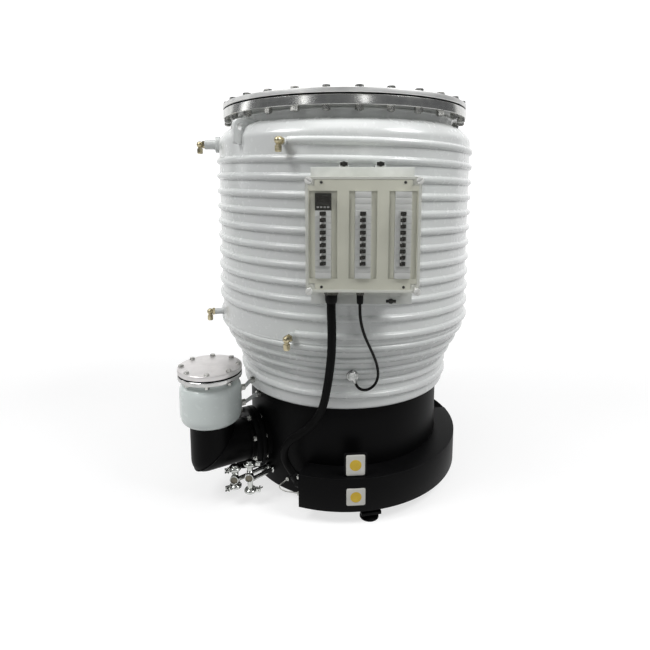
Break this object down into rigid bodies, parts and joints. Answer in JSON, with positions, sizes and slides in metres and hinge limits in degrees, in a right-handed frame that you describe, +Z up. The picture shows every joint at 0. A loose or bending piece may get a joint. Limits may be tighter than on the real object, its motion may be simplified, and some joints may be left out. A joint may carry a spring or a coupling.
{
  "type": "diffusion pump",
  "caption": "Large oil diffusion pump: ribbed white water-cooled body on a black boiler with a base duct, bolted inlet cover, side foreline baffle and a front junction box with a clear lid",
  "frame": {"origin": "on the floor, on the pump's upright axis", "axes": "+Z up along the pump's axis; -Y is the front, with the junction box; +X is to the right of someone facing the box"},
  "size_m": [1.078, 1.1753, 1.4355],
  "materials": {
    "white_paint": "gloss white paint",
    "black_paint": "satin black paint",
    "grey_paint": "satin black paint",
    "zinc_steel": "zinc plated",
    "stainless": "drawn stainless",
    "polished_steel": "polished stainless",
    "brass": "machined brass",
    "seal_rubber": "black rubber",
    "rail_steel": "galvanised and painted",
    "label_white": "bare white plate",
    "clear_lid": "clear grey polycarbonate",
    "sight_glass": "clear glass",
    "box_plastic": "light grey moulding",
    "fascia_grey": "grey sheet",
    "device_white": "light grey moulding",
    "handle_black": "black moulding",
    "controller_grey": "dark grey moulding",
    "key_grey": "grey keys",
    "gland_black": "black nylon",
    "conduit_black": "black ribbed hose",
    "cable_black": "black cable sheath",
    "lead_white": "pale lead sheath"
  },
  "bodies": {
    "pump": {"pump_body": "white_paint", "inlet_flange": "white_paint", "transport_cover": "white_paint", "lifting_lugs": "white_paint", "upper_cooling_coil": "white_paint", "lower_cooling_coil": "white_paint", "water_stubs": "white_paint", "rail_brackets": "white_paint", "baffle_housing": "white_paint", "foreline_cover": "white_paint", "boiler_shell": "black_paint", "foreline_stub": "black_paint", "foreline_elbow": "black_paint", "terminal_duct": "black_paint", "levelling_feet": "black_paint", "duct_covers": "grey_paint", "cover_bolts": "zinc_steel", "foreline_bolts": "zinc_steel", "small_bolts": "zinc_steel", "din_rails": "zinc_steel", "immersion_heaters": "zinc_steel", "jet_base_stage": "stainless", "jet_upper_stage": "stainless", "jet_cap": "stainless", "jet_tie_rod": "stainless", "cold_cap": "stainless", "baffle_plates": "stainless", "baffle_water_pipes": "stainless", "service_pipes": "polished_steel", "service_clamps": "polished_steel", "water_elbows": "brass", "flange_seals": "seal_rubber", "box_rails": "rail_steel", "front_plates": "label_white", "sight_glasses": "sight_glass", "box_base": "box_plastic", "box_fascia": "fascia_grey", "breaker_bodies": "device_white", "module_blanks": "device_white", "temperature_controller": "controller_grey", "thermostat": "controller_grey", "cable_glands": "gland_black", "heater_conduit": "conduit_black", "sensor_cable": "cable_black", "earth_lead": "lead_white"},
    "handle_1": {"breaker_handle_1": "handle_black"},
    "handle_2": {"breaker_handle_2": "handle_black"},
    "handle_3": {"breaker_handle_3": "handle_black"},
    "handle_4": {"breaker_handle_4": "handle_black"},
    "handle_5": {"breaker_handle_5": "handle_black"},
    "handle_6": {"breaker_handle_6": "handle_black"},
    "handle_7": {"breaker_handle_7": "handle_black"},
    "handle_8": {"breaker_handle_8": "handle_black"},
    "handle_9": {"breaker_handle_9": "handle_black"},
    "key_1": {"controller_key_1": "key_grey"},
    "key_2": {"controller_key_2": "key_grey"},
    "key_3": {"controller_key_3": "key_grey"},
    "key_4": {"controller_key_4": "key_grey"},
    "lid": {"box_lid": "clear_lid", "lid_screws": "box_plastic"}
  },
  "joints": [
    {"name": "handle_1_throw", "type": "hinge", "parent": "pump", "child": "handle_1", "pos_m": [-0.0569, -0.605, 1.04175], "axis": [0, 0, 1], "range_deg": [0, 64]},
    {"name": "handle_2_throw", "type": "hinge", "parent": "pump", "child": "handle_2", "pos_m": [-0.0569, -0.605, 0.98925], "axis": [0, 0, 1], "range_deg": [0, 64]},
    {"name": "handle_3_throw", "type": "hinge", "parent": "pump", "child": "handle_3", "pos_m": [-0.0569, -0.605, 0.93675], "axis": [0, 0, 1], "range_deg": [0, 64]},
    {"name": "handle_4_throw", "type": "hinge", "parent": "pump", "child": "handle_4", "pos_m": [0.0546, -0.605, 1.04175], "axis": [0, 0, 1], "range_deg": [0, 64]},
    {"name": "handle_5_throw", "type": "hinge", "parent": "pump", "child": "handle_5", "pos_m": [0.0546, -0.605, 0.98925], "axis": [0, 0, 1], "range_deg": [0, 64]},
    {"name": "handle_6_throw", "type": "hinge", "parent": "pump", "child": "handle_6", "pos_m": [0.0546, -0.605, 0.93675], "axis": [0, 0, 1], "range_deg": [0, 64]},
    {"name": "handle_7_throw", "type": "hinge", "parent": "pump", "child": "handle_7", "pos_m": [0.1661, -0.605, 1.04175], "axis": [0, 0, 1], "range_deg": [0, 64]},
    {"name": "handle_8_throw", "type": "hinge", "parent": "pump", "child": "handle_8", "pos_m": [0.1661, -0.605, 0.98925], "axis": [0, 0, 1], "range_deg": [0, 64]},
    {"name": "handle_9_throw", "type": "hinge", "parent": "pump", "child": "handle_9", "pos_m": [0.1661, -0.605, 0.93675], "axis": [0, 0, 1], "range_deg": [0, 64]},
    {"name": "key_1_press", "type": "slide", "parent": "pump", "child": "key_1", "axis": [0, 1, 0], "range_m": [0, 0.0008], "stiffness_N_per_m": 400, "springref_m": -0.0005},
    {"name": "key_2_press", "type": "slide", "parent": "pump", "child": "key_2", "axis": [0, 1, 0], "range_m": [0, 0.0008], "stiffness_N_per_m": 400, "springref_m": -0.0005},
    {"name": "key_3_press", "type": "slide", "parent": "pump", "child": "key_3", "axis": [0, 1, 0], "range_m": [0, 0.0008], "stiffness_N_per_m": 400, "springref_m": -0.0005},
    {"name": "key_4_press", "type": "slide", "parent": "pump", "child": "key_4", "axis": [0, 1, 0], "range_m": [0, 0.0008], "stiffness_N_per_m": 400, "springref_m": -0.0005},
    {"name": "lid_lift", "type": "slide", "parent": "pump", "child": "lid", "axis": [0, -1, 0], "range_m": [0, 0.06]}
  ]
}
